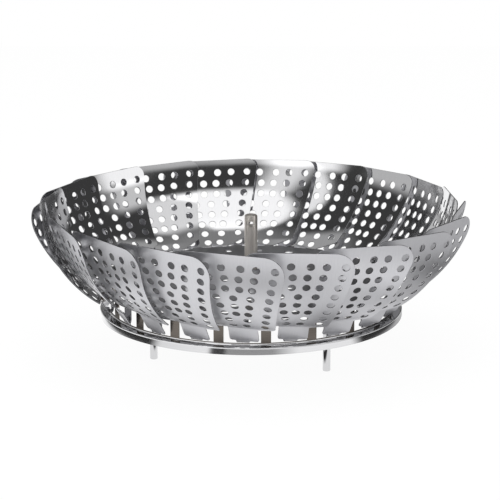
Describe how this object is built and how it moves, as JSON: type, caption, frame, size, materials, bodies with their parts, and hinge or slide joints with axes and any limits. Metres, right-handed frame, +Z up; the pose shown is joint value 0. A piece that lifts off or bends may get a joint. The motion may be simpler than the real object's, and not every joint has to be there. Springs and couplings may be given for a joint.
{
  "type": "folding steamer basket",
  "caption": "Steel steamer basket: lapped perforated leaves that fold on a wire ring round a windowed base pan, with a centre post and fold-up legs.",
  "frame": {"origin": "on the floor, under the centre of the basket", "axes": "+Z up along the centre post, -Y towards the side that the picture shows, +X to its right"},
  "size_m": [0.2, 0.2, 0.0713],
  "materials": {
    "leaf_steel": "satin outside, mirror inside",
    "pan_steel": "polished",
    "wire_steel": "drawn, bright",
    "post_steel": "polished",
    "blank_steel": "as rolled"
  },
  "bodies": {
    "base": {"base_pan": "pan_steel", "hinge_ring": "wire_steel", "centre_post": "post_steel", "post_washer": "blank_steel", "post_nut": "blank_steel", "leg_bracket_1": "blank_steel", "leg_bracket_2": "blank_steel", "leg_bracket_3": "blank_steel", "leg_pin_1": "wire_steel", "leg_pin_2": "wire_steel", "leg_pin_3": "wire_steel", "bracket_rivet_1": "wire_steel", "bracket_rivet_2": "wire_steel", "bracket_rivet_3": "wire_steel"},
    "leaf_01": {"leaf_01": "leaf_steel"},
    "leaf_02": {"leaf_02": "leaf_steel"},
    "leaf_03": {"leaf_03": "leaf_steel"},
    "leaf_04": {"leaf_04": "leaf_steel"},
    "leaf_05": {"leaf_05": "leaf_steel"},
    "leaf_06": {"leaf_06": "leaf_steel"},
    "leaf_07": {"leaf_07": "leaf_steel"},
    "leaf_08": {"leaf_08": "leaf_steel"},
    "leaf_09": {"leaf_09": "leaf_steel"},
    "leaf_10": {"leaf_10": "leaf_steel"},
    "leaf_11": {"leaf_11": "leaf_steel"},
    "leaf_12": {"leaf_12": "leaf_steel"},
    "leaf_13": {"leaf_13": "leaf_steel"},
    "leaf_14": {"leaf_14": "leaf_steel"},
    "leaf_15": {"leaf_15": "leaf_steel"},
    "leaf_16": {"leaf_16": "leaf_steel"},
    "leaf_17": {"leaf_17": "leaf_steel"},
    "leaf_18": {"leaf_18": "leaf_steel"},
    "leaf_19": {"leaf_19": "leaf_steel"},
    "leaf_20": {"leaf_20": "leaf_steel"},
    "leg_1": {"leg_1": "post_steel"},
    "leg_2": {"leg_2": "post_steel"},
    "leg_3": {"leg_3": "post_steel"}
  },
  "joints": [
    {"name": "leaf_01_fold", "type": "hinge", "parent": "base", "child": "leaf_01", "pos_m": [-0.00393, -0.06739, 0.032], "axis": [-0.9842, 0.0574, -0.1676], "range_deg": [-30, 65]},
    {"name": "leaf_02_fold", "type": "hinge", "parent": "base", "child": "leaf_02", "pos_m": [0.01708, -0.0653, 0.032], "axis": [-0.9538, -0.2495, -0.1676], "range_deg": [-30, 65]},
    {"name": "leaf_03_fold", "type": "hinge", "parent": "base", "child": "leaf_03", "pos_m": [0.03643, -0.05683, 0.032], "axis": [-0.83, -0.532, -0.1676], "range_deg": [-30, 65]},
    {"name": "leaf_04_fold", "type": "hinge", "parent": "base", "child": "leaf_04", "pos_m": [0.0522, -0.04279, 0.032], "axis": [-0.625, -0.7625, -0.1676], "range_deg": [-30, 65]},
    {"name": "leaf_05_fold", "type": "hinge", "parent": "base", "child": "leaf_05", "pos_m": [0.06287, -0.02456, 0.032], "axis": [-0.3588, -0.9183, -0.1676], "range_deg": [-30, 65]},
    {"name": "leaf_06_fold", "type": "hinge", "parent": "base", "child": "leaf_06", "pos_m": [0.06739, -0.00393, 0.032], "axis": [-0.0574, -0.9842, -0.1676], "range_deg": [-30, 65]},
    {"name": "leaf_07_fold", "type": "hinge", "parent": "base", "child": "leaf_07", "pos_m": [0.0653, 0.01708, 0.032], "axis": [0.2495, -0.9538, -0.1676], "range_deg": [-30, 65]},
    {"name": "leaf_08_fold", "type": "hinge", "parent": "base", "child": "leaf_08", "pos_m": [0.05683, 0.03643, 0.032], "axis": [0.532, -0.83, -0.1676], "range_deg": [-30, 65]},
    {"name": "leaf_09_fold", "type": "hinge", "parent": "base", "child": "leaf_09", "pos_m": [0.04279, 0.0522, 0.032], "axis": [0.7625, -0.625, -0.1676], "range_deg": [-30, 65]},
    {"name": "leaf_10_fold", "type": "hinge", "parent": "base", "child": "leaf_10", "pos_m": [0.02456, 0.06287, 0.032], "axis": [0.9183, -0.3588, -0.1676], "range_deg": [-30, 65]},
    {"name": "leaf_11_fold", "type": "hinge", "parent": "base", "child": "leaf_11", "pos_m": [0.00393, 0.06739, 0.032], "axis": [0.9842, -0.0574, -0.1676], "range_deg": [-30, 65]},
    {"name": "leaf_12_fold", "type": "hinge", "parent": "base", "child": "leaf_12", "pos_m": [-0.01708, 0.0653, 0.032], "axis": [0.9538, 0.2495, -0.1676], "range_deg": [-30, 65]},
    {"name": "leaf_13_fold", "type": "hinge", "parent": "base", "child": "leaf_13", "pos_m": [-0.03643, 0.05683, 0.032], "axis": [0.83, 0.532, -0.1676], "range_deg": [-30, 65]},
    {"name": "leaf_14_fold", "type": "hinge", "parent": "base", "child": "leaf_14", "pos_m": [-0.0522, 0.04279, 0.032], "axis": [0.625, 0.7625, -0.1676], "range_deg": [-30, 65]},
    {"name": "leaf_15_fold", "type": "hinge", "parent": "base", "child": "leaf_15", "pos_m": [-0.06287, 0.02456, 0.032], "axis": [0.3588, 0.9183, -0.1676], "range_deg": [-30, 65]},
    {"name": "leaf_16_fold", "type": "hinge", "parent": "base", "child": "leaf_16", "pos_m": [-0.06739, 0.00393, 0.032], "axis": [0.0574, 0.9842, -0.1676], "range_deg": [-30, 65]},
    {"name": "leaf_17_fold", "type": "hinge", "parent": "base", "child": "leaf_17", "pos_m": [-0.0653, -0.01708, 0.032], "axis": [-0.2495, 0.9538, -0.1676], "range_deg": [-30, 65]},
    {"name": "leaf_18_fold", "type": "hinge", "parent": "base", "child": "leaf_18", "pos_m": [-0.05683, -0.03643, 0.032], "axis": [-0.532, 0.83, -0.1676], "range_deg": [-30, 65]},
    {"name": "leaf_19_fold", "type": "hinge", "parent": "base", "child": "leaf_19", "pos_m": [-0.04279, -0.0522, 0.032], "axis": [-0.7625, 0.625, -0.1676], "range_deg": [-30, 65]},
    {"name": "leaf_20_fold", "type": "hinge", "parent": "base", "child": "leaf_20", "pos_m": [-0.02456, -0.06287, 0.032], "axis": [-0.9183, 0.3588, -0.1676], "range_deg": [-30, 65]},
    {"name": "leg_1_fold", "type": "hinge", "parent": "base", "child": "leg_1", "pos_m": [0.0342, -0.03194, 0.029], "axis": [0.6825, 0.7309, 0], "range_deg": [0, 90]},
    {"name": "leg_2_fold", "type": "hinge", "parent": "base", "child": "leg_2", "pos_m": [0.01056, 0.04559, 0.029], "axis": [-0.9742, 0.2256, 0], "range_deg": [0, 90]},
    {"name": "leg_3_fold", "type": "hinge", "parent": "base", "child": "leg_3", "pos_m": [-0.04476, -0.01365, 0.029], "axis": [0.2917, -0.9565, 0], "range_deg": [0, 90]}
  ],
  "couplings": [
    {"joint": "leaf_02_fold", "follows": "leaf_01_fold", "ratio": 1},
    {"joint": "leaf_03_fold", "follows": "leaf_01_fold", "ratio": 1},
    {"joint": "leaf_04_fold", "follows": "leaf_01_fold", "ratio": 1},
    {"joint": "leaf_05_fold", "follows": "leaf_01_fold", "ratio": 1},
    {"joint": "leaf_06_fold", "follows": "leaf_01_fold", "ratio": 1},
    {"joint": "leaf_07_fold", "follows": "leaf_01_fold", "ratio": 1},
    {"joint": "leaf_08_fold", "follows": "leaf_01_fold", "ratio": 1},
    {"joint": "leaf_09_fold", "follows": "leaf_01_fold", "ratio": 1},
    {"joint": "leaf_10_fold", "follows": "leaf_01_fold", "ratio": 1},
    {"joint": "leaf_11_fold", "follows": "leaf_01_fold", "ratio": 1},
    {"joint": "leaf_12_fold", "follows": "leaf_01_fold", "ratio": 1},
    {"joint": "leaf_13_fold", "follows": "leaf_01_fold", "ratio": 1},
    {"joint": "leaf_14_fold", "follows": "leaf_01_fold", "ratio": 1},
    {"joint": "leaf_15_fold", "follows": "leaf_01_fold", "ratio": 1},
    {"joint": "leaf_16_fold", "follows": "leaf_01_fold", "ratio": 1},
    {"joint": "leaf_17_fold", "follows": "leaf_01_fold", "ratio": 1},
    {"joint": "leaf_18_fold", "follows": "leaf_01_fold", "ratio": 1},
    {"joint": "leaf_19_fold", "follows": "leaf_01_fold", "ratio": 1},
    {"joint": "leaf_20_fold", "follows": "leaf_01_fold", "ratio": 1}
  ]
}
